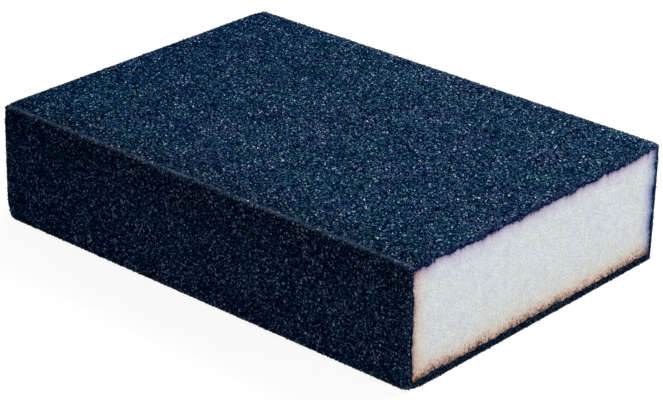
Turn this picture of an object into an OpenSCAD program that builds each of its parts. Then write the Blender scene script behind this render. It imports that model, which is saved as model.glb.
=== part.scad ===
// Sanding sponge: a block of fine-celled foam with an abrasive coat of grit and
// resin bonded round its four long faces. The ends are sawn square, so they show
// the bare foam framed by the cut edge of the coat.
// The block lies on its base working face. X runs along its length, Y across its
// width from front to back, and Z up. The origin is the middle of the base.

/* [Block] */
// Length of the block, from one sawn end to the other
block_l = 100; // [50:1:160]
// Width of the block, across its base and top working faces
block_w = 72; // [40:1:120]
// Height of the block, from the base working face to the top one
block_h = 24; // [12:0.5:40]

/* [Long edges] */
// Outer radius of the two long edges at the base
base_edge_r = 1.4; // [0.3:0.1:2]
// Outer radius of the two long edges at the top
top_edge_r = 0.6; // [0.3:0.1:2]
// Radius of the foam's own long edges, under the coat
foam_edge_r = 0.5; // [0.1:0.1:2]

/* [Abrasive coat] */
// Thickness of the coat on the base working face
base_coat = 1.9; // [0.8:0.1:2.5]
// Thickness of the coat on the top working face
top_coat = 1.4; // [0.8:0.1:2.5]
// Thickness of the coat on the front side
front_coat = 1.2; // [0.8:0.1:2.5]
// Thickness of the coat on the back side
back_coat = 1.5; // [0.8:0.1:2.5]

/* [Soak line] */
// How far the line that the resin soaked to may stray, either way
soak_stray = 0.15; // [0:0.05:0.5]
// Length of one wave of that line, which is fitted a whole number of times
soak_wave = 7; // [5:0.5:20]

/* [Hidden] */

$fn = 48;
WAVE_STEPS = 12;
CORNER_STEPS = 4;
// The line strays in a long wave with a shorter, weaker one on top. The ratio of
// their lengths is a whole number of halves, so both are back at zero at a corner.
LONG_SHARE = 0.6;
SHORT_SHARE = 0.4;
SHORT_RATIO = 2.5;

// The foam's section, before the soak line strays
foam_front = -block_w / 2 + front_coat;
foam_back = block_w / 2 - back_coat;
foam_base = base_coat;
foam_top = block_h - top_coat;

// The centre of the arc at each corner of the foam, round the section from the
// front base corner by way of the back
arc_centres = [
    [foam_front + foam_edge_r, foam_base + foam_edge_r],
    [foam_back - foam_edge_r, foam_base + foam_edge_r],
    [foam_back - foam_edge_r, foam_top - foam_edge_r],
    [foam_front + foam_edge_r, foam_top - foam_edge_r]
];

// Points on the arc at one corner of the foam, where the face before it looks
// along the angle start
function corner_arc(centre, start) = [
    for (i = [0:CORNER_STEPS])
        let (a = start + 90 * i / CORNER_STEPS)
        centre + foam_edge_r * [cos(a), sin(a)]
];

// How far the line strays at a turn of its long wave, in degrees
function stray(turn) =
    soak_stray * (LONG_SHARE * sin(turn) + SHORT_SHARE * sin(SHORT_RATIO * turn));

// Points between two corners, on a face that looks along the angle facing. They
// swing in and out of the face in whole waves and leave out the two end points.
function soaked_face(first, last, facing) =
    let (
        waves = max(1, round(norm(last - first) / soak_wave)),
        steps = waves * WAVE_STEPS,
        outward = [cos(facing), sin(facing)]
    )
    [
        for (i = [1:steps - 1])
            first + (last - first) * i / steps + outward * stray(360 * i / WAVE_STEPS)
    ];

// One quarter of the soak line: a corner's arc, and the face that follows it
function soak_quarter(corner) =
    let (
        facing = 90 * corner - 90,
        outward = foam_edge_r * [cos(facing), sin(facing)],
        centre = arc_centres[corner],
        next_centre = arc_centres[(corner + 1) % 4]
    )
    concat(
        corner_arc(centre, facing - 90),
        soaked_face(centre + outward, next_centre + outward, facing)
    );

// The line where the coat stops and the bare foam starts
soak_line = [for (corner = [0:3]) each soak_quarter(corner)];

// Draws a section, which is Y across and Z up, along the whole length
module along_length() {
    rotate([90, 0, 90])
        linear_extrude(block_l, center = true)
            children();
}

// The outside of the block in section, with its own radius at the base and top
module block_section() {
    translate([-block_w / 2, base_edge_r])
        square([block_w, block_h - base_edge_r - top_edge_r]);
    translate([base_edge_r - block_w / 2, 0])
        square([block_w - 2 * base_edge_r, block_h / 2]);
    translate([top_edge_r - block_w / 2, block_h / 2])
        square([block_w - 2 * top_edge_r, block_h / 2]);
    for (side = [-1, 1]) {
        translate([side * (block_w / 2 - base_edge_r), base_edge_r])
            circle(base_edge_r);
        translate([side * (block_w / 2 - top_edge_r), block_h - top_edge_r])
            circle(top_edge_r);
    }
}

// The block of white foam, as far out as it stays free of resin
module foam_core() {
    color("#D8DEE2")
        along_length()
            polygon(soak_line);
}

// The closed sleeve of dark blue grit and resin that is bonded round the foam
module abrasive_coat() {
    color("#1B3650")
        along_length()
            difference() {
                block_section();
                polygon(soak_line);
            }
}

foam_core();
abrasive_coat();
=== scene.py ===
"""A sanding sponge: a white foam block with dark blue grit bonded round its long faces.

Lengths in this script are millimetres until a mesh, a light or the camera is made,
and a material turns the places that it reads into millimetres too. The frame is the
CAD model's: X along the block, Y from the front side to the back, Z up, and the
origin in the middle of the base.
"""
import math
from itertools import product

import bpy
import numpy as np
from mathutils import Matrix, Vector
from mathutils.geometry import delaunay_2d_cdt

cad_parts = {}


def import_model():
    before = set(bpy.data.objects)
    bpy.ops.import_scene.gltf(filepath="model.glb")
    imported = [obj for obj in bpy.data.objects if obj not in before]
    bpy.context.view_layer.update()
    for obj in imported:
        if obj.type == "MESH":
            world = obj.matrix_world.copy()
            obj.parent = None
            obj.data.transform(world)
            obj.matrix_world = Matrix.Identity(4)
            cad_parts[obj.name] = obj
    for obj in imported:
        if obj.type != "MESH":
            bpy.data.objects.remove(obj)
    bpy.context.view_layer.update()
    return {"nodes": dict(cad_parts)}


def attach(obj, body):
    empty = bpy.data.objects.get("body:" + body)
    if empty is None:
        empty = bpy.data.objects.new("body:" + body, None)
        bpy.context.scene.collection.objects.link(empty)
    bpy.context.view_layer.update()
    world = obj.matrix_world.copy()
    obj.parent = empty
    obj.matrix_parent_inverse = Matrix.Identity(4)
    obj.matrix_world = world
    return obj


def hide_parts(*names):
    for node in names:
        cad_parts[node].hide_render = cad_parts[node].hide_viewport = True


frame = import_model()

MM = 0.001

# ---------------------------------------------------------------- the frame's sizes

# How near a CAD point is to a plane that it lies in.
IN_PLANE = 1e-4


def node_points(node):
    """A CAD node's vertices in millimetres."""
    return np.array([v.co for v in frame["nodes"][node].data.vertices]) / MM


coat_points = node_points("abrasive_coat")
foam_points = node_points("foam_core")
LOW, HIGH = coat_points.min(0), coat_points.max(0)
HALF_L = HIGH[0]


def edge_radius(level):
    """Radius of the long edges at the base or the top, from where that face ends."""
    face = coat_points[np.abs(coat_points[:, 2] - level) < IN_PLANE]
    return HIGH[1] - face[:, 1].max()


BASE_EDGE_R = edge_radius(LOW[2])
TOP_EDGE_R = edge_radius(HIGH[2])
# The long edge at the back of the base is sharper than the CAD's, which has one radius
# for both edges of the base. It still lies in the CAD's box.
BACK_BASE_EDGE_R = 0.5

# The foam's section as the CAD has it. Each side is a line that strays in and out, so
# it is held as a graph: where it lies across the side, against the way along it.
end_points = foam_points[foam_points[:, 0] > HALF_L - IN_PLANE]
FOAM_LOW, FOAM_HIGH = end_points.min(0), end_points.max(0)
# A side's points lie less than this from its edge across it, and more than this from
# its corners along it.
STRAY = 1.0
CORNER = 1.0


def foam_side(across, along, edge):
    """(places along, places across) of the foam's side that lies near the value edge."""
    near = np.abs(end_points[:, across] - edge) < STRAY
    inside = (end_points[:, along] > FOAM_LOW[along] + CORNER) & (
        end_points[:, along] < FOAM_HIGH[along] - CORNER
    )
    side = np.unique(end_points[near & inside][:, [along, across]].round(4), axis=0)
    return side[:, 0], side[:, 1]


FOAM_SIDES = {
    "base": foam_side(2, 1, FOAM_LOW[2]),
    "back": foam_side(1, 2, FOAM_HIGH[1]),
    "top": foam_side(2, 1, FOAM_HIGH[2]),
    "front": foam_side(1, 2, FOAM_LOW[1]),
}
OUTWARD = {"base": -1, "back": 1, "top": 1, "front": -1}
# How far past the CAD's line the foam is drawn at the two ends of each side, the one at
# the front or the base first. The resin soaked in unevenly, so this goes from one end to
# the other, and less than 0 is short of the line.
SPILL = {"base": (0.00, 0.12), "back": (0.15, 0.30), "top": (0.10, 0.35), "front": (-0.30, 0.35)}
# Where each side's ends lie along it, and how far out the foam's side is drawn there on
# average.
SOAK_ENDS = {side: (along.min(), along.max()) for side, (along, _) in FOAM_SIDES.items()}
SOAK = {
    side: FOAM_SIDES[side][1].mean() + OUTWARD[side] * np.array(SPILL[side]) for side in SPILL
}

# ------------------------------------------------------------------------- noise


def lattice(cells, seed):
    """A number from 0 to 1 for each whole-numbered cell, the same on every run. Its long
    numbers are those of well-known hash functions."""
    x = cells.astype(np.uint64)
    h = np.full(x.shape[:-1], seed * 2654435761 % 2**32, np.uint64)
    for axis in range(x.shape[-1]):
        h = (h ^ (x[..., axis] & np.uint64(0xFFFFFFFF))) * np.uint64(0x9E3779B97F4A7C15)
        h ^= h >> np.uint64(29)
    h *= np.uint64(0xBF58476D1CE4E5B9)
    h ^= h >> np.uint64(32)
    return (h & np.uint64(0xFFFFFFFF)).astype(float) / 2**32


def noise(points, size, seed):
    """Smooth noise from -1 to 1 at these points, with lumps about this size."""
    place = np.asarray(points, float) / size
    cell = np.floor(place).astype(np.int64)
    part = place - cell
    part = part * part * (3 - 2 * part)
    total = np.zeros(len(place))
    for step in product((0, 1), repeat=place.shape[1]):
        share = np.where(step, part, 1 - part).prod(1)
        total += share * lattice(cell + step, seed)
    return 2 * total - 1


# Further, in cells, than any dot that is looked for.
NO_DOT = 9.0


def nearest_dot(points, size, seed, share=1.0):
    """How far each point of a plane is from the nearest of some scattered dots, in
    cells of this size. Only this share of the cells holds a dot."""
    place = np.asarray(points, float) / size
    cell = np.floor(place).astype(np.int64)
    best = np.full(len(place), NO_DOT)
    for step in product((-1, 0, 1), repeat=2):
        other = cell + step
        dot = other + np.stack([lattice(other, seed), lattice(other, seed + 1)], 1)
        gap = np.linalg.norm(place - dot, axis=1)
        held = lattice(other, seed + 2) < share
        best = np.minimum(best, np.where(held, gap, NO_DOT))
    return best


# ------------------------------------------------------------------ the outer section

# How many points a quarter circle has, an odd number so that one is at its middle.
ARC_POINTS = 25


def arc(centre, radius, start):
    """Points and normals on a quarter circle in (y, z)."""
    angles = np.radians(np.linspace(start, start + 90, ARC_POINTS))
    normals = np.stack([np.cos(angles), np.sin(angles)], 1)
    return centre + radius * normals, normals


def outer_section():
    """The block's outline in (y, z), from the middle of the front base edge by way of
    the base, the back and the top: distance round, points and outward normals."""
    corners = [
        (LOW[1], LOW[2], BASE_EDGE_R, 180),
        (HIGH[1], LOW[2], BACK_BASE_EDGE_R, 270),
        (HIGH[1], HIGH[2], TOP_EDGE_R, 0),
        (LOW[1], HIGH[2], TOP_EDGE_R, 90),
    ]
    middle = np.array([(LOW[1] + HIGH[1]) / 2, (LOW[2] + HIGH[2]) / 2])
    rows = []
    for y, z, radius, start in corners:
        corner = np.array([y, z])
        centre = corner + radius * np.sign(middle - corner)
        rows.append(np.hstack(arc(centre, radius, start)))
    rows = np.roll(np.concatenate(rows), -(ARC_POINTS // 2), axis=0)
    points, normals = np.hsplit(np.concatenate([rows, rows[:1]]), 2)
    steps = np.linalg.norm(np.diff(points, axis=0), axis=1)
    return np.concatenate([[0], steps.cumsum()]), points, normals


ROUND, OUTLINE, OUTLINE_NORMALS = outer_section()
GIRTH = ROUND[-1]


def on_section(distance):
    """Points and unit normals in (y, z) at these distances round the outer section."""
    distance = np.mod(distance, GIRTH)
    point = np.stack([np.interp(distance, ROUND, OUTLINE[:, i]) for i in (0, 1)], 1)
    normal = [np.interp(distance, ROUND, OUTLINE_NORMALS[:, i]) for i in (0, 1)]
    normal = np.stack(normal, 1)
    return point, normal / np.linalg.norm(normal, axis=1, keepdims=True)


def side_starts():
    """How far round the section each side starts, at the middle of a long edge."""
    turned = np.array([[-1, -1], [1, -1], [1, 1], [-1, 1]]) / math.sqrt(2)
    starts = [int(np.argmax(OUTLINE_NORMALS @ turn)) for turn in turned]
    starts[0] = 0
    return dict(zip(("base", "back", "top", "front"), ROUND[starts]))


SIDE_STARTS = side_starts()
SIDE_ENDS = dict(zip(SIDE_STARTS, [*list(SIDE_STARTS.values())[1:], GIRTH]))


def edge_gap(distance):
    """How far round the section each place is from the middle of the nearest long edge."""
    edges = np.array([*SIDE_STARTS.values(), GIRTH])
    return np.abs(np.mod(distance, GIRTH)[:, None] - edges).min(1)


# The sawn edges of the coat are worn to the first radius, and by one of the next three
# more at the block's corners, most at the front of the base and least at its back. That
# falls away along the edge within about CORNER_REACH.
END_ROLL = 0.4
FRONT_BASE_ROLL = 1.3
BACK_BASE_ROLL = 0.1
TOP_ROLL = 0.55
CORNER_REACH = 2.2


def in_space(x, distance, depth):
    """Points this deep under the outer surface, which rolls inwards at the sawn ends,
    with the normals of the section there."""
    point, normal = on_section(distance)
    is_low = point[:, 1] < (LOW[2] + HIGH[2]) / 2
    base_roll = np.where(point[:, 0] < 0, FRONT_BASE_ROLL, BACK_BASE_ROLL)
    corner_roll = np.where(is_low, base_roll, TOP_ROLL)
    roll = END_ROLL + corner_roll * np.exp(-((edge_gap(distance) / CORNER_REACH) ** 2))
    over = np.clip(np.abs(x) - HALF_L + roll, 0, roll)
    depth = depth + roll - np.sqrt(roll**2 - over**2)
    point = point - depth[:, None] * normal
    return (
        np.column_stack([x, point]),
        np.column_stack([np.zeros(len(x)), normal]),
    )


# ------------------------------------------------------------------- the soak line

# How far apart the line's points are.
LOOP_STEP = 0.20
# The line strays in noise of three sizes: size, reach and seed of each, and how much of
# that reach each side gets.
RAGGED = ((5.0, 0.13, 29), (1.5, 0.20, 31), (0.50, 0.18, 37))
RAGGED_SHARE = {"base": 0.8, "back": 1.0, "top": 1.35, "front": 0.8}


def soak_sides():
    """The closed line in (y, z) where the coat stops and the bare foam starts, side by
    side: the CAD's own line, made ragged as the resin's edge is."""

    def side_line(side, first, last):
        along = np.arange(first, last, math.copysign(LOOP_STEP, last - first))
        spill = np.interp(along, SOAK_ENDS[side], SPILL[side])
        across = np.interp(along, *FOAM_SIDES[side]) + OUTWARD[side] * spill
        line = [along, across] if side in ("base", "top") else [across, along]
        line = np.stack(line, 1)
        for size, reach, seed in RAGGED:
            shift = [noise(line, size, seed + i) for i in (0, 1)]
            line = line + RAGGED_SHARE[side] * reach * np.stack(shift, 1)
        return line

    return {
        "base": side_line("base", SOAK["front"][0], SOAK["back"][0]),
        "back": side_line("back", SOAK["base"][1], SOAK["top"][1]),
        "top": side_line("top", SOAK["back"][1], SOAK["front"][1]),
        "front": side_line("front", SOAK["top"][0], SOAK["base"][0]),
    }


SOAK_SIDES = soak_sides()
SOAK_LINE = np.concatenate(list(SOAK_SIDES.values()))

# -------------------------------------------------------------------- mesh helpers


def add_piece(name, points, triangles, material, **marks):
    """A piece of the block from points in millimetres and triangles of their numbers.
    Each mark is a number at every point that the material reads by name."""
    mesh = bpy.data.meshes.new(name)
    mesh.from_pydata((np.asarray(points) * MM).tolist(), [], np.asarray(triangles).tolist())
    mesh.materials.append(material)
    for mark, values in marks.items():
        mesh.attributes.new(mark, "FLOAT", "POINT").data.foreach_set("value", values)
    piece = bpy.data.objects.new(name, mesh)
    bpy.context.scene.collection.objects.link(piece)
    return piece


# Vertices nearer to each other than this are made one.
WELD_GAP = 1e-4


def weld(piece):
    """Joins vertices of a piece that lie on each other, so that it is closed."""
    select_only(piece)
    bpy.ops.object.mode_set(mode="EDIT")
    bpy.ops.mesh.select_all(action="SELECT")
    bpy.ops.mesh.remove_doubles(threshold=WELD_GAP * MM)
    bpy.ops.mesh.dissolve_degenerate(threshold=WELD_GAP * MM)
    bpy.ops.mesh.normals_make_consistent(inside=False)
    bpy.ops.object.mode_set(mode="OBJECT")


def select_only(piece):
    """Makes this piece the one that Blender's mesh operators work on."""
    bpy.ops.object.select_all(action="DESELECT")
    piece.select_set(True)
    bpy.context.view_layer.objects.active = piece


def ring(first, second):
    """Two triangles for each step between two closed rows of as many point numbers."""
    a, b = np.append(first, first[0]), np.append(second, second[0])
    return np.concatenate(
        [
            np.stack([a[:-1], a[1:], b[1:]], 1),
            np.stack([a[:-1], b[1:], b[:-1]], 1),
        ]
    )


# Points nearer to each other than this are one in a flat fill, and the kind of fill that
# keeps only what lies inside the loops.
FILL_GAP = 1e-5
FILL_INSIDE = 1


def flat_fill(loops, inside):
    """Fills the area in the first closed loop in (y, z) and outside the others with
    triangles that also use the points inside. Gives the points, with those of the
    loops first, and the triangles."""
    points = np.concatenate([*loops, inside])
    edges, first = [], 0
    for loop in loops:
        turn = np.arange(first, first + len(loop))
        edges += np.stack([turn, np.roll(turn, -1)], 1).tolist()
        first += len(loop)
    filled = delaunay_2d_cdt([Vector(p) for p in points], edges, [], FILL_INSIDE, FILL_GAP)
    points, triangles = np.array([tuple(v) for v in filled[0]]), np.array(filled[2])
    middles = points[triangles].mean(1)
    for loop in loops[1:]:
        open_area = inside_loop(middles, loop)
        middles, triangles = middles[~open_area], triangles[~open_area]
    return points, triangles


# How much of its cell a scattered point may move over.
SCATTER = 0.8


def scattered(low, high, step, seed):
    """Points over a rectangle about this far apart, each moved at random in its cell."""
    grid = [np.arange(a + step / 2, b, step) for a, b in zip(low, high)]
    middles = np.stack(np.meshgrid(*grid, indexing="ij"), -1).reshape(-1, 2)
    half_steps = np.rint(middles / step * 2).astype(np.int64)
    shift = np.stack([lattice(half_steps, seed + i) for i in (0, 1)], 1)
    return middles + (shift - 0.5) * SCATTER * step


def inside_loop(points, loop):
    """For each point in a plane, whether the closed loop goes round it."""
    held = np.zeros(len(points), bool)
    for (ay, az), (by, bz) in zip(loop, np.roll(loop, -1, axis=0)):
        spans = (az > points[:, 1]) != (bz > points[:, 1])
        if az != bz:
            held ^= spans & (points[:, 0] < (by - ay) * (points[:, 1] - az) / (bz - az) + ay)
    return held


# How many points are measured against a whole line at once, to save memory.
AT_ONCE = 4000


def gap_to_loop(points, loop, reach):
    """How far each point is from the nearest point of a line, up to reach."""
    gaps = np.full(len(points), reach)
    for start in range(0, len(points), AT_ONCE):
        part = points[start : start + AT_ONCE]
        gap = np.linalg.norm(part[:, None] - loop[None], axis=2).min(1)
        gaps[start : start + AT_ONCE] = np.minimum(gap, reach)
    return gaps


def clear_of(points, loop, gap):
    """Those of the points that are further than this from every point of a line."""
    return points[gap_to_loop(points, loop, 2 * gap) > gap]


# ----------------------------------------------------------------------- materials

# Nearly all of Blender's noise lies in the first range. The second is nearer its middle,
# so what is stretched from it is more often at one end or the other.
MOST_NOISE = 0.30, 0.70
MID_NOISE = 0.35, 0.65


class Nodes:
    """Shader nodes, made by short calls."""

    def __init__(self, tree):
        self.tree = tree

    def add(self, kind, inputs=(), **settings):
        """A node of this kind. An input is another node's output or a plain value."""
        node = self.tree.nodes.new("ShaderNode" + kind)
        for key, value in settings.items():
            setattr(node, key, value)
        for socket, value in dict(inputs).items():
            if isinstance(value, bpy.types.NodeSocket):
                self.tree.links.new(value, node.inputs[socket])
            else:
                node.inputs[socket].default_value = value
        return node

    def scale(self, vector, share):
        """A place or a colour times a number."""
        return self.add("VectorMath", {0: vector, "Scale": share}, operation="SCALE").outputs[0]

    def math(self, operation, first, second=0.0, clamp=False):
        """A number worked out from one or two others."""
        node = self.add("Math", {0: first, 1: second}, operation=operation, use_clamp=clamp)
        return node.outputs[0]

    def ramp(self, value, stops):
        """A colour for a number from 0 to 1, by (position, colour) stops."""
        node = self.add("ValToRGB", {"Fac": value})
        elements = node.color_ramp.elements
        while len(elements) < len(stops):
            elements.new(1.0)
        for element, (position, colour) in zip(elements, stops):
            element.position = position
            element.color = (*colour, 1.0)
        return node.outputs["Color"]

    def mix(self, share, first, second, blend="MIX"):
        """A colour that goes from the first to the second with the share."""
        node = self.add("Mix", data_type="RGBA", blend_type=blend)
        for socket, value in (("Factor_Float", share), ("A_Color", first), ("B_Color", second)):
            target = next(i for i in node.inputs if i.identifier == socket)
            if isinstance(value, bpy.types.NodeSocket):
                self.tree.links.new(value, target)
            else:
                is_colour = isinstance(value, (tuple, list))
                target.default_value = (*value, 1.0) if is_colour else value
        return next(o for o in node.outputs if o.identifier == "Result_Color")

    def tint(self, colour, tint, share=1.0):
        """A colour as this share of a tint lets it through."""
        return self.mix(share, colour, tint, blend="MULTIPLY")

    def map(self, value, low, high, to_low=0.0, to_high=1.0):
        """A number that goes from to_low to to_high as the value goes from low to high,
        and stays at either past it."""
        inputs = {"Value": value, 1: low, 2: high, 3: to_low, 4: to_high}
        return self.add("MapRange", inputs, clamp=True).outputs[0]


class Shader(Nodes):
    """A material's nodes. Places in it are in millimetres."""

    def __init__(self, name, **surface):
        self.material = bpy.data.materials.new(name)
        self.material.use_nodes = True
        super().__init__(self.material.node_tree)
        self.surface = self.tree.nodes["Principled BSDF"]
        for socket, value in surface.items():
            self.surface.inputs[socket.replace("_", " ")].default_value = value
        place = self.tree.nodes.new("ShaderNodeTexCoord").outputs["Object"]
        self.place = self.scale(place, 1 / MM)
        self.x, self.y, self.z = self.add("SeparateXYZ", {0: self.place}).outputs

    def noise(self, size, detail=2.0, roughness=0.5):
        """Noise from 0 to 1 with lumps about this many millimetres across."""
        inputs = {"Vector": self.place, "Scale": 1 / size}
        inputs |= {"Detail": detail, "Roughness": roughness}
        return self.add("TexNoise", inputs).outputs["Fac"]

    def stray(self, size, reach, detail=2.0, roughness=0.5):
        """Noise that strays this far either way."""
        return self.map(self.noise(size, detail, roughness), *MOST_NOISE, -reach, reach)

    def cells(self, size, feature="F1"):
        """A Voronoi pattern with cells about this many millimetres across: how far the
        middle of the nearest cell is, against that size, and two random numbers from 0 to
        1 for the cell."""
        inputs = {"Vector": self.place, "Scale": 1 / size}
        node = self.add("TexVoronoi", inputs, feature=feature)
        first, second, _ = self.add("SeparateColor", {0: node.outputs["Color"]}).outputs
        return node.outputs["Distance"], first, second

    def mark(self, name):
        """The number that a piece's points carry under this name."""
        return self.add("Attribute", attribute_name=name).outputs["Fac"]

    def bump(self, height, distance, strength=1.0):
        """Bumps this many millimetres high."""
        inputs = {"Height": height, "Distance": distance * MM, "Strength": strength}
        self.drive("Normal", self.add("Bump", inputs).outputs["Normal"])

    def drive(self, socket, value):
        """Gives an input of the surface a value that isn't the same everywhere."""
        self.tree.links.new(value, self.surface.inputs[socket])


# Linear colours of the coat, from the darkest, which also paints the shade in the gaps between
# the resin's lumps, to the palest grain.
COAT_TONES = (
    (0.00, (0.0001, 0.0011, 0.0100)),
    (0.15, (0.0002, 0.0055, 0.0262)),
    (0.35, (0.0036, 0.0250, 0.0640)),
    (0.60, (0.0175, 0.0580, 0.1180)),
    (0.80, (0.0400, 0.1010, 0.1750)),
    (0.93, (0.0770, 0.1530, 0.2550)),
    (1.00, (0.1550, 0.2450, 0.3700)),
)
# The two tints that the coat drifts between from place to place, those that it drifts between
# from the left end, where it is darker and bluer, to where the right one's starts, and the
# painted shade of the narrow sides, a bluer tint for the light on the shaded front, with how far
# inside their faces it fades in.
TEAL, INDIGO = (0.80, 1.06, 0.98), (1.20, 0.94, 1.05)
DRIFT_SIZE = 7.0
AT_LEFT, AT_RIGHT = (0.45, 0.80, 0.92), (1.19, 1.18, 1.10)
RIGHT_START = -10.0
NARROW_SIDE_SHADE_TINT = (1.09, 0.89, 1.07)
NARROW_FROM, NARROW_TO = 0.6, 0.3
# Painted shade, darker on both sides of the long edge at the front of the top: its tint there,
# and how far from that edge this starts to fade and where it has gone.
FRONT_TOP_EDGE_SHADE = (0.74, 0.70, 0.70)
FRONT_TOP_EDGE_SHADE_REACH = 3.5, 10.0
# The colour of the pale band along the long edges, rubbed grit with a painted highlight, and of
# the rubbed grit by the sawn ends: what the darkest and the palest grain make of it, and the
# patches in it: their size, the noise they are made of, and the least and the most of it in
# them.
WEAR_AND_HIGHLIGHT = (0.060, 0.099, 0.158)
WEAR_AND_HIGHLIGHT_SHADES = 0.45, 2.0
WEAR_AND_HIGHLIGHT_PATCH = 1.6
WEAR_AND_HIGHLIGHT_NOISE = 0.35, 0.60
WEAR_AND_HIGHLIGHT_SHARES = 0.2, 1.0
# The coat's cut edge, at the base and front and at the top and back: its tint, the
# colour of the resin that the saw smeared over it, and that of the rim next to the foam,
# which is resin alone. The colours of the top and back fade in over CUT_FADE.
CUT_TINTS = (1.05, 0.64, 0.58), (1.00, 0.90, 1.25)
SMEARED = (0.0060, 0.0045, 0.0100), (0.0080, 0.0090, 0.0350)
RIM_COLOURS = (0.0055, 0.0040, 0.0095), (0.0018, 0.0036, 0.0260)
CUT_FADE = 5.0
# How much of the smeared resin shows, how deep under the end plane these colours start,
# and how wide the rim is.
SMEAR_SHARE = 0.2
SMEAR_DEPTH = 0.3
RIM_REACH = 0.4
# The front's cut edge is darker: one more tint fades in this far inside its face.
FRONT_CUT_TINT = (0.58, 0.87, 1.00)
FRONT_CUT_FROM, FRONT_CUT_TO = 2.0, 1.5


def face_colour(s, tone):
    """The coat's colour for a tone on its faces, with its slow drifts in hue, darker and bluer
    towards the left end, and with painted shade on the narrow sides and along the long edge at
    the front of the top.
    """
    drift = s.mix(s.map(s.noise(DRIFT_SIZE, detail=3.0), *MID_NOISE), TEAL, INDIGO)
    # Darker and bluer from where the right end's tint starts towards the left end.
    lengthwise = s.mix(s.map(s.x, -HALF_L, RIGHT_START), AT_LEFT, AT_RIGHT)
    colour = s.tint(s.tint(s.ramp(tone, COAT_TONES), drift), lengthwise)
    # Painted shade: a bluer tint on the narrow sides, for the light on the shaded front.
    aside = s.math("ABSOLUTE", s.y)
    colour = s.tint(colour, NARROW_SIDE_SHADE_TINT, s.map(aside, HIGH[1] - NARROW_FROM, HIGH[1] - NARROW_TO))
    # Painted shade: darker along both sides of the long edge at the front of the top.
    from_edge = s.math("ADD", s.y, s.math("SUBTRACT", HIGH[2] - LOW[1], s.z))
    return s.tint(colour, FRONT_TOP_EDGE_SHADE, s.map(from_edge, *FRONT_TOP_EDGE_SHADE_REACH, 1.0, 0.0))


def rubbed_and_highlight_colour(s, tone, colour):
    """The coat's colour in patches where it is rubbed, and where its long edges carry the
    painted highlight. Elsewhere it is as it was.
    """
    # Along the long edges this pale colour is rubbed grit and a painted highlight.
    patches = s.noise(WEAR_AND_HIGHLIGHT_PATCH, detail=4.0, roughness=0.7)
    share = s.math("MULTIPLY", s.mark("wear"), s.map(patches, *WEAR_AND_HIGHLIGHT_NOISE, *WEAR_AND_HIGHLIGHT_SHARES))
    return s.mix(share, colour, s.scale(WEAR_AND_HIGHLIGHT, s.map(tone, 0.0, 1.0, *WEAR_AND_HIGHLIGHT_SHADES)))


def cut_colour(s, colour):
    """The coat's colour on its cut edge, by what it was before the cut."""
    at_top = s.map(s.z, HIGH[2] - CUT_FADE, HIGH[2])
    at_back = s.map(s.y, HIGH[1] - CUT_FADE, HIGH[1])
    bluer = s.math("MAXIMUM", at_top, at_back)
    colour = s.tint(colour, s.mix(bluer, *CUT_TINTS))
    colour = s.mix(SMEAR_SHARE, colour, s.mix(bluer, *SMEARED))
    colour = s.mix(s.mark("rim"), colour, s.mix(bluer, *RIM_COLOURS))
    at_front = s.map(s.y, LOW[1] + FRONT_CUT_FROM, LOW[1] + FRONT_CUT_TO)
    return s.tint(colour, FRONT_CUT_TINT, at_front)


def coat_colour(s, tone):
    """The coat's colour for a tone, on its faces, its rubbed edges with their painted highlight,
    and its cut ones.
    """
    colour = rubbed_and_highlight_colour(s, tone, face_colour(s, tone))
    cut = s.map(s.math("ABSOLUTE", s.x), HALF_L - SMEAR_DEPTH, HALF_L - SMEAR_DEPTH / 2)
    return s.mix(cut, colour, cut_colour(s, colour))


# The finer grains that the resin covers: their size, how far from its middle a lump is highest
# and where it ends, the darkest and palest tone of a lump, and its height. A lump darkens
# towards its end too, which paints shade into the gaps between lumps.
RESIN_LUMP = 0.36
RESIN_LUMP_TOP, RESIN_LUMP_END = 0.25, 0.75
RESIN_TONES = 0.1, 0.9
RESIN_BUMP = 0.06


def resin_material():
    """Dark blue resin under the grains, lumpy with the finer grains that it covers, and with
    painted shade in the gaps between the lumps.
    """
    s = Shader("grit_resin", Roughness=0.6, Specular_IOR_Level=0.0)
    away, chance, _ = s.cells(RESIN_LUMP)
    lump_and_gap_shade = s.map(away, RESIN_LUMP_TOP, RESIN_LUMP_END, 1.0, 0.0)
    # Painted shade: the tone falls to the darkest between the lumps.
    tone = s.math("MULTIPLY", lump_and_gap_shade, s.map(chance, 0.0, 1.0, *RESIN_TONES))
    s.drive("Base Color", coat_colour(s, tone))
    s.bump(lump_and_gap_shade, RESIN_BUMP)
    return s.material


# How far the grains' tones stray in large patches and in small smears, with their sizes.
PATCH_SIZE, PATCH_TONE = 5.0, 0.12
SMEAR_SIZE, SMEAR_TONE = 0.35, 0.08
# A grain is matt up to this tone. From there to the palest one its gloss rises and its
# roughness falls. Its faces have fine bumps.
MATT_TONE = 0.6
GRAIN_GLOSS = 0.0, 0.30
GRAIN_ROUGHNESS = 0.6, 0.3
GRAIN_BUMP_SIZE, GRAIN_BUMP = 0.12, 0.01


def grain_material():
    """Angular mineral grains wetted with resin. Each has its own tone, and the palest
    ones shine."""
    s = Shader("grit_grains")
    patches = s.stray(PATCH_SIZE, PATCH_TONE, detail=4.0, roughness=0.7)
    stray = s.math("ADD", patches, s.stray(SMEAR_SIZE, SMEAR_TONE))
    tone = s.math("ADD", s.mark("tone"), stray, clamp=True)
    s.drive("Base Color", coat_colour(s, tone))
    s.drive("Specular IOR Level", s.map(tone, MATT_TONE, 1.0, *GRAIN_GLOSS))
    s.drive("Roughness", s.map(tone, MATT_TONE, 1.0, *GRAIN_ROUGHNESS))
    s.bump(s.noise(GRAIN_BUMP_SIZE), GRAIN_BUMP)
    return s.material


# The two colours that mottle the foam, and the two tints that it drifts between.
FOAM_WHITE, FOAM_GREY = (0.678, 0.707, 0.735), (0.563, 0.603, 0.623)
MOTTLE_SIZE = 1.5
FOAM_TINTS = (1.015, 1.000, 0.985), (0.985, 1.000, 1.015)
TINT_SIZE = 4.0
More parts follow.
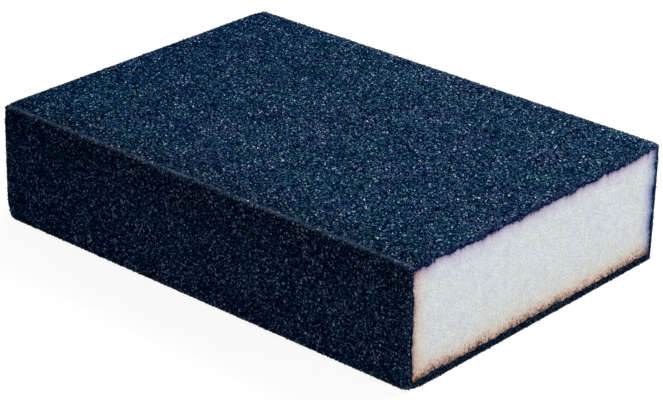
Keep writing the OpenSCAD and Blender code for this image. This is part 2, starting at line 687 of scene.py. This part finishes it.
# What a resin stain lets through, by the distance from the soak line in millimetres.
# Distances are measured up to STAIN_REACH.
STAIN_REACH = 10.0
STAINS = {
    "base": (
        (0.00, (0.19, 0.12, 0.11)),
        (0.35, (0.46, 0.29, 0.25)),
        (0.65, (0.68, 0.44, 0.37)),
        (0.95, (0.84, 0.58, 0.48)),
        (1.25, (0.93, 0.70, 0.58)),
        (1.75, (0.98, 0.81, 0.70)),
        (2.50, (1.00, 0.90, 0.80)),
        (3.50, (1.00, 0.95, 0.89)),
        (5.00, (1.00, 0.98, 0.95)),
        (9.00, (1.00, 1.00, 1.00)),
    ),
    "front": (
        (0.00, (0.28, 0.22, 0.24)),
        (0.20, (0.46, 0.36, 0.36)),
        (0.50, (0.72, 0.56, 0.52)),
        (0.90, (0.90, 0.72, 0.65)),
        (1.40, (0.98, 0.82, 0.74)),
        (2.00, (1.00, 0.91, 0.82)),
        (3.00, (1.00, 0.96, 0.90)),
        (5.00, (1.00, 1.00, 1.00)),
    ),
    "top": (
        (0.00, (0.15, 0.14, 0.27)),
        (0.15, (0.34, 0.30, 0.45)),
        (0.35, (0.56, 0.48, 0.65)),
        (0.65, (0.75, 0.65, 0.80)),
        (1.10, (0.87, 0.78, 0.88)),
        (1.80, (0.94, 0.90, 0.95)),
        (3.50, (1.00, 1.00, 1.00)),
    ),
    "back": (
        (0.00, (0.08, 0.13, 0.27)),
        (0.25, (0.18, 0.24, 0.42)),
        (0.50, (0.30, 0.36, 0.57)),
        (0.85, (0.48, 0.52, 0.74)),
        (1.20, (0.63, 0.65, 0.84)),
        (1.80, (0.78, 0.78, 0.90)),
        (2.60, (0.91, 0.90, 0.95)),
        (4.00, (0.98, 0.98, 0.99)),
        (6.00, (1.00, 1.00, 1.00)),
    ),
}
# A stain strays in a fine stipple and a slow drift, with their sizes and how far they
# go either way, and each side gets a share of both. At the base, crumbs of foam also
# took up more or less of it.
STIPPLE_SIZE, STIPPLE_REACH = 0.40, 0.6
SWAY_SIZE, SWAY_REACH = 3.5, 0.35
STAIN_STRAY = {"base": 0.85, "front": 0.6, "top": 0.35, "back": 0.6}
CRUMB_SIZE, CRUMB_REACH = 0.45, 0.45
# Specks of resin near the base: their size, how far from its middle one is darkest and
# where it ends, their reach, how fast they thin out in it and how softly, and their two
# tints.
SPECK_SIZE = 0.42
SPECK_DARK, SPECK_END = 0.25, 0.6
SPECK_REACH = 2.6
SPECK_THINNING = 1.6
SPECK_FADE = 0.15
SPECK_TINTS = (0.44, 0.27, 0.21), (0.85, 0.61, 0.47)
# The foam's fine pores, darkened as painted shade: their size, how far from its middle one is
# darkest and where it ends, and how dark the painted shade makes its middle and the foam round
# it.
FINE_PORE_SIZE = 0.42
FINE_PORE_DARK, FINE_PORE_END = 0.05, 0.45
FINE_PORE_PAINTED_SHADE = 0.90, 1.0
# The size and height of its finest bumps.
FOAM_BUMP_SIZE, FOAM_BUMP = 0.30, 0.05


def resin_specks(s, gap):
    """How dark the specks are and their tint, by the distance from the soak line:
    close to it most cells of the foam hold one, and at SPECK_REACH none."""
    away, chance, shade = s.cells(SPECK_SIZE)
    likely = s.math("POWER", s.map(gap, 0.0, SPECK_REACH, 1.0, 0.0), SPECK_THINNING)
    held = s.map(s.math("SUBTRACT", likely, chance), 0.0, SPECK_FADE)
    dot = s.map(away, SPECK_DARK, SPECK_END, 1.0, 0.0)
    return s.math("MULTIPLY", held, dot), s.mix(shade, *SPECK_TINTS)


def stained(s, colour):
    """The foam's colour with the stains of all four sides and the specks at the base."""
    stray = s.math(
        "ADD",
        s.stray(STIPPLE_SIZE, STIPPLE_REACH, roughness=0.6),
        s.stray(SWAY_SIZE, SWAY_REACH),
    )
    crumbs = s.map(s.cells(CRUMB_SIZE)[1], 0.0, 1.0, -CRUMB_REACH, CRUMB_REACH)
    for side, stops in STAINS.items():
        gap = s.math("ADD", s.mark("from_" + side), s.math("MULTIPLY", stray, STAIN_STRAY[side]))
        if side == "base":
            gap = s.math("ADD", gap, crumbs)
        stops = [(position / STAIN_REACH, tint) for position, tint in stops]
        colour = s.tint(colour, s.ramp(s.math("DIVIDE", gap, STAIN_REACH, clamp=True), stops))
        if side == "base":
            dark, tint = resin_specks(s, gap)
            colour = s.tint(colour, tint, dark)
    return colour


def foam_material():
    """Bluish white foam, sawn across its cells, with resin stains round its edge and painted
    shade in its fine pores.
    """
    s = Shader("foam", Roughness=0.9, Specular_IOR_Level=0.15)
    mottle = s.map(s.noise(MOTTLE_SIZE, detail=3.0, roughness=0.7), *MOST_NOISE)
    tint = s.mix(s.map(s.noise(TINT_SIZE), *MID_NOISE), *FOAM_TINTS)
    colour = stained(s, s.tint(s.mix(mottle, FOAM_WHITE, FOAM_GREY), tint))
    # Painted shade in the fine pores.
    away = s.cells(FINE_PORE_SIZE)[0]
    shade = s.map(away, FINE_PORE_DARK, FINE_PORE_END, *FINE_PORE_PAINTED_SHADE)
    s.drive("Base Color", s.scale(colour, shade))
    s.bump(s.cells(FOAM_BUMP_SIZE, feature="SMOOTH_F1")[0], FOAM_BUMP, strength=0.6)
    return s.material


# --------------------------------------------------------------------------- foam

# How far apart the points of the sawn foam are.
FOAM_STEP = 0.24
# How far the foam's highest point lies under the end plane.
FOAM_SINK = 0.01
# The open cells and the few larger pores: the size of the grid that each is scattered
# in, its radius as a share of that and its depth. The power makes a cell steepest at its
# middle, and only a share of the pores' places has one.
CELL_SIZE = 0.55
CELL_RADIUS = 0.55
CELL_DEPTH = 0.07
CELL_POWER = 1.5
PORE_SIZE = 1.9
PORE_RADIUS = 0.12
PORE_DEPTH = 0.12
PORE_SHARE = 0.22
# The size of the slow lumps under both, and how far they go in and out.
UNEVEN_SIZE = 4.0
UNEVEN_DEPTH = 0.02


def foam_depth(points, seed):
    """How deep the sawn foam lies under the end plane, with its cells and pores."""
    cells = np.clip(1 - nearest_dot(points, CELL_SIZE, seed) / CELL_RADIUS, 0, 1)
    pores = nearest_dot(points, PORE_SIZE, seed + 10, PORE_SHARE)
    pores = np.clip(1 - (pores / PORE_RADIUS) ** 2, 0, 1)
    uneven = 1 + noise(points, UNEVEN_SIZE, seed + 20)
    depth = FOAM_SINK + CELL_DEPTH * cells**CELL_POWER + PORE_DEPTH * pores
    return depth + UNEVEN_DEPTH * uneven


def foam_block(material):
    """The foam: two sawn ends full of cells, and plain sides under the coat."""
    inside = scattered(SOAK_LINE.min(0), SOAK_LINE.max(0), FOAM_STEP, seed=51)
    inside = inside[inside_loop(inside, SOAK_LINE)]
    inside = clear_of(inside, SOAK_LINE, FOAM_STEP / 2)
    flat, triangles = flat_fill([SOAK_LINE], inside)
    marks = {}
    for side, line in SOAK_SIDES.items():
        marks["from_" + side] = np.tile(gap_to_loop(flat, line, STAIN_REACH), 2)
    points, faces = [], []
    for end, seed in ((1, 61), (-1, 71)):
        x = end * (HALF_L - foam_depth(flat, seed))
        faces.append(triangles[:, ::end] + len(flat) * len(points))
        points.append(np.column_stack([x, flat]))
    rim = np.arange(len(SOAK_LINE))
    faces.append(ring(rim + len(flat), rim))
    points, faces = np.concatenate(points), np.concatenate(faces)
    return add_piece("foam_block", points, faces, material, **marks)


# --------------------------------------------------------------------------- coat

# How far the pale band of a long edge, rubbed grit with a painted highlight, reaches either way
# from its middle, and how far that middle lies inside the top face at a top edge.
EDGE_WEAR_AND_HIGHLIGHT_REACH = 0.5
EDGE_WEAR_AND_HIGHLIGHT_SHIFT = 0.3
# How far the grit is rubbed at the sawn ends, against 1 at a long edge, and its reach.
END_WEAR = 0.60
END_WEAR_REACH = 1.3
# How deep the resin lies under the tips of the grit, on the faces and at their borders,
# how far a border reaches, and the size, height and seed of the resin's lumps.
BED_DEPTH = 0.20
BORDER_DEPTH = 0.12
BORDER_REACH = 0.8
BED_LUMPS = ((1.0, 0.07, 11), (3.5, 0.04, 13))
# How far apart the resin's points are, lengthwise and round the section, and how much
# of that they stray either way.
BED_STEP_X = 0.50
BED_STEP_ROUND = 0.47
BED_STRAY = 0.35
# The resin's cut edge: how far apart its points are, its depth under the end plane, and
# the size and height of its lumps.
CUT_STEP = 0.28
CUT_DEPTH = 0.14
CUT_LUMP_SIZE = 0.5
CUT_LUMPS = 0.09


def edge_wear(distance):
    """How much of the pale band, rubbed grit with a painted highlight, the coat has: 1 along the
    long edges and 0 off them. At the top it is strongest just inside the top face."""
    rubbed = np.array([*SIDE_STARTS.values(), GIRTH])
    rubbed += np.array([0, 0, EDGE_WEAR_AND_HIGHLIGHT_SHIFT, -EDGE_WEAR_AND_HIGHLIGHT_SHIFT, 0])
    gap = np.abs(np.mod(distance, GIRTH)[:, None] - rubbed).min(1)
    return np.exp(-((gap / EDGE_WEAR_AND_HIGHLIGHT_REACH) ** 2))


def end_wear(x):
    """How far the grit is rubbed next to the block's sawn ends."""
    return END_WEAR * np.exp(-(((HALF_L - np.abs(x)) / END_WEAR_REACH) ** 2))


def bed_depth(x, distance):
    """How deep the resin bed lies under the tips of the grit. It comes up along the
    block's edges, where the grit is worn down to it."""
    place, _ = in_space(x, distance, np.zeros(len(x)))
    depth = np.full(len(x), BED_DEPTH)
    for size, reach, seed in BED_LUMPS:
        depth += reach * noise(place, size, seed)
    gap = np.minimum(edge_gap(distance), HALF_L - np.abs(x))
    return BORDER_DEPTH + (depth - BORDER_DEPTH) * (1 - np.exp(-((gap / BORDER_REACH) ** 2)))


def rim_share(points):
    """For points of the cut edge, 1 at the foam and 0 past the rim of plain resin."""
    return 1 - gap_to_loop(points, SOAK_LINE, RIM_REACH) / RIM_REACH


def bed_outside():
    """The lumpy outside of the resin: its points, how far round the section each is, and
    their numbers in rows round the block, from the left end to the right one."""
    columns = round(GIRTH / BED_STEP_ROUND)
    rows = round(2 * HALF_L / BED_STEP_X)
    rng = np.random.default_rng(seed=21)
    x = np.linspace(-HALF_L + CUT_DEPTH, HALF_L - CUT_DEPTH, rows + 1)[:, None]
    x = np.repeat(x, columns, 1)
    distance = np.repeat(np.arange(columns)[None] * GIRTH / columns, rows + 1, 0)
    x[1:-1] += rng.uniform(-BED_STRAY, BED_STRAY, x[1:-1].shape) * BED_STEP_X
    distance[1:-1] += rng.uniform(-BED_STRAY, BED_STRAY, x[1:-1].shape) * BED_STEP_ROUND
    x, distance = x.ravel(), distance.ravel()
    points, _ = in_space(x, distance, bed_depth(x, distance))
    return points, distance, np.arange(len(x)).reshape(rows + 1, columns)


def cut_edge(outer, end):
    """The resin's cut edge at one end, between its outline in (y, z) and the soak line:
    its points, first those of the outline and then those of the line, and triangles."""
    borders = np.concatenate([outer, SOAK_LINE])
    inside = scattered(outer.min(0), outer.max(0), CUT_STEP, seed=23)
    inside = inside[inside_loop(inside, outer) & ~inside_loop(inside, SOAK_LINE)]
    inside = clear_of(inside, borders, CUT_STEP / 2)
    flat, triangles = flat_fill([outer, SOAK_LINE], inside)
    lumps = CUT_LUMPS * noise(flat, CUT_LUMP_SIZE, seed=25 + end)
    # The borders stay flat, so that they meet the outside and the seat.
    lumps[: len(borders)] = 0
    x = end * (HALF_L - CUT_DEPTH + lumps)
    return np.column_stack([x, flat]), triangles[:, ::end]


def resin_bed(material):
    """The resin sleeve: a lumpy outside, a cut edge at each end, and its seat on the
    foam inside."""
    outside, distance, number = bed_outside()
    points, wear, rim = [outside], [edge_wear(distance)], [np.zeros(len(outside))]
    faces = [ring(after, before) for before, after in zip(number[:-1], number[1:])]
    first, seats = len(outside), []
    for end, row in ((1, number[-1]), (-1, number[0])):
        edge, triangles = cut_edge(outside[row][:, 1:], end)
        points.append(edge)
        wear.append(np.zeros(len(edge)))
        rim.append(rim_share(edge[:, 1:]))
        faces.append(triangles + first)
        seats.append(np.arange(len(SOAK_LINE)) + first + len(row))
        first += len(edge)
    faces.append(ring(*seats))
    points, faces = np.concatenate(points), np.concatenate(faces)
    marks = {"wear": np.concatenate(wear), "rim": np.concatenate(rim)}
    piece = add_piece("resin_bed", points, faces, material, **marks)
    weld(piece)
    return piece


# -------------------------------------------------------------------------- grains

# Corners and triangles of the shards, a pyramid and a double pyramid on a triangle whose
# corners lie 1 from its middle.
THIRDS = [(math.cos(a), math.sin(a)) for a in (0, math.tau / 3, 2 * math.tau / 3)]
SHARDS = (
    (
        [(*third, -0.35) for third in THIRDS] + [(0, 0, 1.1)],
        [(0, 2, 1), (0, 1, 3), (1, 2, 3), (2, 0, 3)],
    ),
    (
        [(*third, 0) for third in THIRDS] + [(0, 0, 0.9), (0, 0, -0.9)],
        [(0, 1, 3), (1, 2, 3), (2, 0, 3), (1, 0, 4), (2, 1, 4), (0, 2, 4)],
    ),
)
# How far a shard's corners stray, how much it is stretched each way, and the power that
# keeps most shards near the surface.
CORNER_STRAY = 0.15
STRETCH = (0.75, 1.25)
SINK_POWER = 1.5


def turns(count, rng):
    """Random rotations as matrices."""
    q = rng.normal(size=(4, count))
    w, x, y, z = q / np.linalg.norm(q, axis=0)
    rows = (
        (1 - 2 * (y * y + z * z), 2 * (x * y - z * w), 2 * (x * z + y * w)),
        (2 * (x * y + z * w), 1 - 2 * (x * x + z * z), 2 * (y * z - x * w)),
        (2 * (x * z - y * w), 2 * (y * z + x * w), 1 - 2 * (x * x + y * y)),
    )
    return np.stack([np.stack(row, -1) for row in rows], 1)


def shards(kind, surface, normals, size, sink, rng):
    """Points (one row of corners a shard) of shards under a surface, whose highest
    corners lie up to sink under it along its normals, and all inside the block."""
    count, corners = len(surface), np.array(SHARDS[kind][0], float)
    shape = corners + rng.normal(0, CORNER_STRAY, (count, *corners.shape))
    shape *= rng.uniform(*STRETCH, (count, 1, 3)) * rng.uniform(*size, (count, 1, 1))
    shape = np.einsum("nij,nkj->nki", turns(count, rng), shape)
    reach = np.einsum("nki,ni->nk", shape, normals).max(1)
    depth = reach + sink * rng.random(count) ** SINK_POWER
    points = (surface - depth[:, None] * normals)[:, None] + shape
    return np.clip(points, LOW, HIGH)


def grains(name, surface, normals, size, sink, seed, material, **marks):
    """A piece of loose shards under a surface, with marks for each shard."""
    rng = np.random.default_rng(seed)
    kinds = rng.integers(len(SHARDS), size=len(surface))
    points, faces, first = [], [], 0
    spread = {mark: [] for mark in marks}
    for kind, (corners, triangles) in enumerate(SHARDS):
        chosen = kinds == kind
        made = shards(kind, surface[chosen], normals[chosen], size, sink, rng)
        starts = first + len(corners) * np.arange(len(made))
        points.append(made.reshape(-1, 3))
        faces.append((np.array(triangles) + starts[:, None, None]).reshape(-1, 3))
        for mark, values in marks.items():
            spread[mark].append(np.repeat(values[chosen], len(corners)))
        first += made.shape[0] * made.shape[1]
    spread = {mark: np.concatenate(values) for mark, values in spread.items()}
    points, faces = np.concatenate(points), np.concatenate(faces)
    return add_piece(name, points, faces, material, **spread)


# On the faces and on the cut edge: how far apart the grains are, the least and greatest
# radius of a shard's triangle, and how far its tip lies under the surface at most.
GRAIN_STEP = 0.50
GRAIN_SIZE = (0.20, 0.34)
GRAIN_SINK = 0.07
CUT_GRAIN_STEP = 0.42
CUT_GRAIN_SIZE = (0.15, 0.28)
CUT_GRAIN_SINK = 0.10
# The power that the grains' random tones are raised to at the base of the cut edge, and
# how much less it is at the top, where that makes them paler.
CUT_TONE_POWER = 1.5
CUT_TONE_DROP = 0.9


def side_grains(side, seed, material):
    """The grit on one of the four coated sides, long edges included."""
    low, high = (-HALF_L, SIDE_STARTS[side]), (HALF_L, SIDE_ENDS[side])
    spots = scattered(low, high, GRAIN_STEP, seed)
    surface, normals = in_space(spots[:, 0], spots[:, 1], np.zeros(len(spots)))
    return grains(
        "grit_" + side,
        surface,
        normals,
        GRAIN_SIZE,
        GRAIN_SINK,
        seed,
        material,
        tone=np.random.default_rng(seed).random(len(spots)),
        wear=np.maximum(edge_wear(spots[:, 1]), end_wear(spots[:, 0])),
    )


def cut_outline():
    """The resin's outline in (y, z) where it reaches the cut edge, without its lumps."""
    distance = np.arange(0, GIRTH, BED_STEP_ROUND)
    x = np.full(len(distance), HALF_L - CUT_DEPTH)
    outer, _ = in_space(x, distance, np.full(len(x), BORDER_DEPTH))
    return outer[:, 1:]


def cut_grains(end, seed, material):
    """Grains that the saw left along the cut edge of the coat at one end. The higher
    they lie, the paler they are."""
    outer = cut_outline()
    spots = scattered(outer.min(0), outer.max(0), CUT_GRAIN_STEP, seed)
    spots = spots[inside_loop(spots, outer) & ~inside_loop(spots, SOAK_LINE)]
    surface = np.column_stack([np.full(len(spots), end * HALF_L), spots])
    height = (spots[:, 1] - LOW[2]) / (HIGH[2] - LOW[2])
    normals = np.repeat([[end, 0.0, 0.0]], len(spots), 0)
    power = CUT_TONE_POWER - CUT_TONE_DROP * height
    tone = np.random.default_rng(seed).random(len(spots)) ** power
    return grains(
        "cut_grit_right" if end > 0 else "cut_grit_left",
        surface,
        normals,
        CUT_GRAIN_SIZE,
        CUT_GRAIN_SINK,
        seed,
        material,
        tone=tone,
        rim=rim_share(spots),
    )


# ------------------------------------------------------------------------- the part

resin, grit, foam = resin_material(), grain_material(), foam_material()

foam_piece = foam_block(foam)
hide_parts("foam_core")
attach(foam_piece, "root")

coat_pieces = [resin_bed(resin)]
for i, side in enumerate(SIDE_STARTS):
    coat_pieces.append(side_grains(side, seed=81 + i, material=grit))
for end, seed in ((1, 91), (-1, 93)):
    coat_pieces.append(cut_grains(end, seed, material=grit))
for piece in coat_pieces:
    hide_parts("abrasive_coat")
    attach(piece, "root")

# ------------------------------------------------------------------------ the stage

FLOOR_SIZE = 4000
# What the floor reflects on to the block, and what it reflects and adds as it is seen.
FLOOR_COLOUR = (0.30, 0.30, 0.30)
FLOOR_SEEN_COLOUR = (0.15, 0.15, 0.15)
FLOOR_GLOW = 0.90
# How far from the block's middle the floor's glow starts to rise, and where it is that
# of the white around it.
FADE_START, FADE_END = 120, 260
LAMP_SIZE = 300
SENSOR_WIDTH = 36.0


def seen_directly(s):
    """1 for light that goes straight to the camera or by way of gloss or glass, and 0
    for the light that falls on the block."""
    path = s.add("LightPath").outputs
    direct = s.math("MAXIMUM", path["Is Glossy Ray"], path["Is Transmission Ray"])
    return s.math("MAXIMUM", path["Is Camera Ray"], direct)


def floor():
    """A pale floor that looks white and keeps the block's shadow."""
    bpy.ops.mesh.primitive_plane_add(size=FLOOR_SIZE * MM)
    plane = bpy.context.object
    plane.name = "floor"
    s = Shader("floor", Roughness=1.0, Specular_IOR_Level=0.0)
    s.surface.inputs["Emission Color"].default_value = (1, 1, 1, 1)
    seen = seen_directly(s)
    s.drive("Base Color", s.mix(seen, FLOOR_COLOUR, FLOOR_SEEN_COLOUR))
    away = s.add("VectorMath", {0: s.place}, operation="LENGTH").outputs["Value"]
    glow = s.map(away, FADE_START, FADE_END, FLOOR_GLOW, 1.0)
    s.drive("Emission Strength", s.math("MULTIPLY", seen, glow))
    plane.data.materials.append(s.material)


def world(strength):
    """Even light from all round, which looks white."""
    made = bpy.data.worlds.new("studio")
    bpy.context.scene.world = made
    made.use_nodes = True
    s = Nodes(made.node_tree)
    background = s.tree.nodes["Background"]
    background.inputs["Color"].default_value = (1, 1, 1, 1)
    shown = s.map(seen_directly(s), 0.0, 1.0, strength, 1.0)
    s.tree.links.new(shown, background.inputs["Strength"])


def direction(azimuth, elevation):
    """The way from the block to what stands at these angles round it, in degrees. At
    azimuth 0 it stands before the front side, and at 90 past the right end."""
    a, e = math.radians(azimuth), math.radians(elevation)
    return Vector((math.sin(a) * math.cos(e), -math.cos(a) * math.cos(e), math.sin(e)))


def lamp(name, azimuth, elevation, distance, watts):
    """A square soft light at these angles round the block, which it faces."""
    data = bpy.data.lights.new(name, "AREA")
    data.size = LAMP_SIZE * MM
    data.energy = watts
    light = bpy.data.objects.new(name, data)
    back = direction(azimuth, elevation)
    light.location = back * (distance * MM)
    light.rotation_euler = back.to_track_quat("Z", "Y").to_euler()
    bpy.context.scene.collection.objects.link(light)


def camera(azimuth, elevation, roll, lens, distance, aim, shift_aside, shift_up):
    """A camera at these angles round the block, turned by roll about its axis, which
    passes the point aim at these distances aside and above."""
    back, roll = direction(azimuth, elevation), math.radians(roll)
    level = Vector((0, 0, 1)).cross(back).normalized()
    upright = back.cross(level)
    right = math.cos(roll) * level + math.sin(roll) * upright
    up = math.cos(roll) * upright - math.sin(roll) * level
    data = bpy.data.cameras.new("camera")
    data.lens = lens
    data.sensor_width = SENSOR_WIDTH
    made = bpy.data.objects.new("camera", data)
    place = (Vector(aim) + shift_aside * right + shift_up * up + distance * back) * MM
    axes = Matrix((right, up, back)).transposed().to_4x4()
    made.matrix_world = Matrix.Translation(place) @ axes
    bpy.context.scene.collection.objects.link(made)
    bpy.context.scene.camera = made


floor()
world(strength=0.15)
lamp("side", azimuth=75, elevation=20, distance=500, watts=1.46)
lamp("back", azimuth=165, elevation=50, distance=500, watts=3.60)
lamp("far", azimuth=258, elevation=8, distance=1000, watts=4.50)
camera(
    azimuth=40.82,
    elevation=24.80,
    roll=1.345,
    lens=133.95,
    distance=464.3,
    aim=(0, 0, 12.5),
    shift_aside=0.82,
    shift_up=-3.85,
)
bpy.context.scene.view_settings.view_transform = "Standard"
